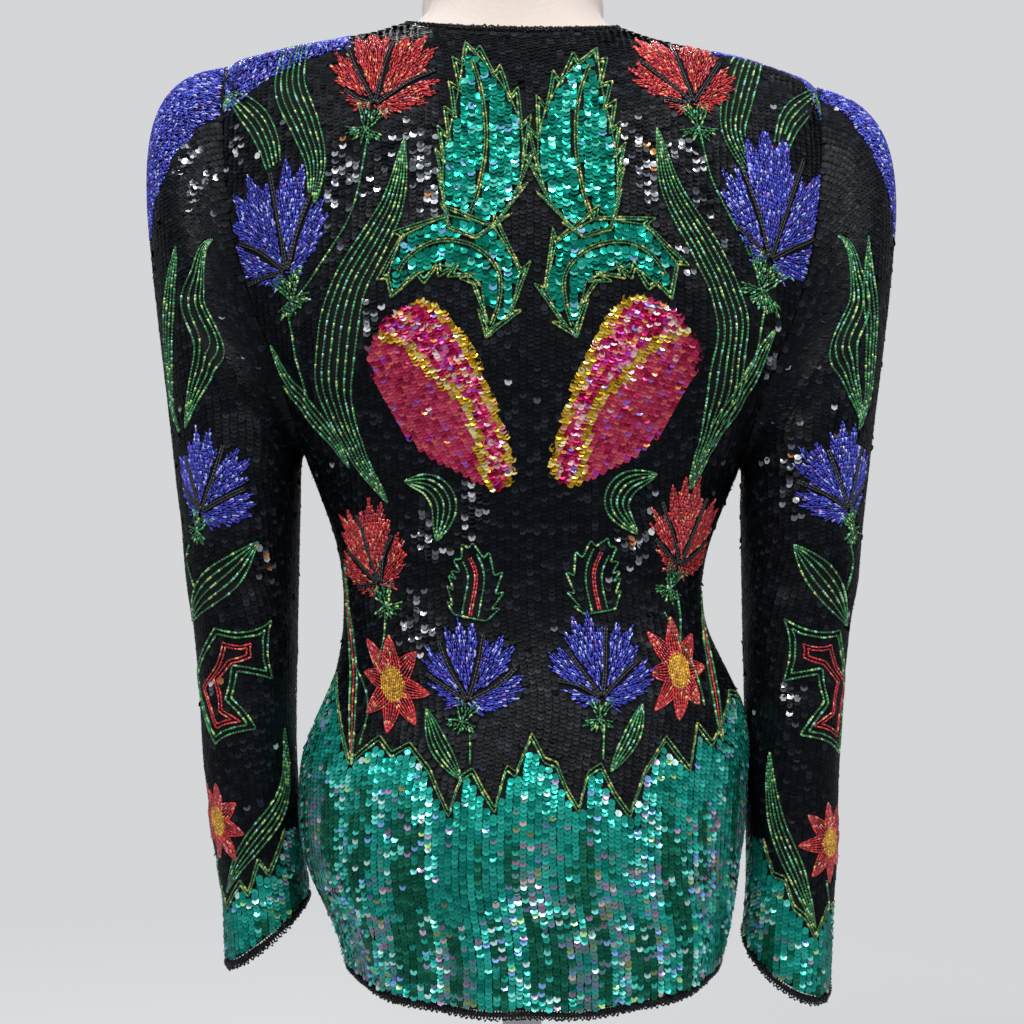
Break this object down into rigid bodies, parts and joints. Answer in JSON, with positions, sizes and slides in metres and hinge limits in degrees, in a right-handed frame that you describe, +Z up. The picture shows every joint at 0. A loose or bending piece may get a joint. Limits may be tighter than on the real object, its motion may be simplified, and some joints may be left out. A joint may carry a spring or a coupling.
{
  "type": "beaded top on a dress form",
  "caption": "Fitted long-sleeved evening top in black sequins with beaded flowers, padded shoulders and a flared teal hem, on a limbless dress form with a pole and a round base.",
  "frame": {"origin": "centre of the round base's underside, on the floor", "axes": "+Z up, +Y towards the wearer's front, +X towards the wearer's right hand side as worn (the pictured side, the garment's back, faces -Y)"},
  "size_m": [0.4798, 0.32, 0.907],
  "materials": {
    "beaded_cloth": "silk covered all over with black sequins, with flowers, leaves and a teal hem in sequins and bugle beads",
    "bead_cord": "rolled edge covered with small glossy black beads",
    "form_cover": "smooth cream cover, matte",
    "steel": "satin",
    "base_paint": "satin off-white paint"
  },
  "bodies": {
    "root": {"back": "beaded_cloth", "front_right": "beaded_cloth", "front_left": "beaded_cloth", "sleeve_right": "beaded_cloth", "sleeve_left": "beaded_cloth", "neck_edging": "bead_cord", "hem_edging": "bead_cord", "front_edging_right": "bead_cord", "front_edging_left": "bead_cord", "cuff_edging_right": "bead_cord", "cuff_edging_left": "bead_cord", "form_torso": "form_cover", "form_collar": "steel", "stand_pole": "steel", "stand_base": "base_paint"}
  },
  "joints": []
}
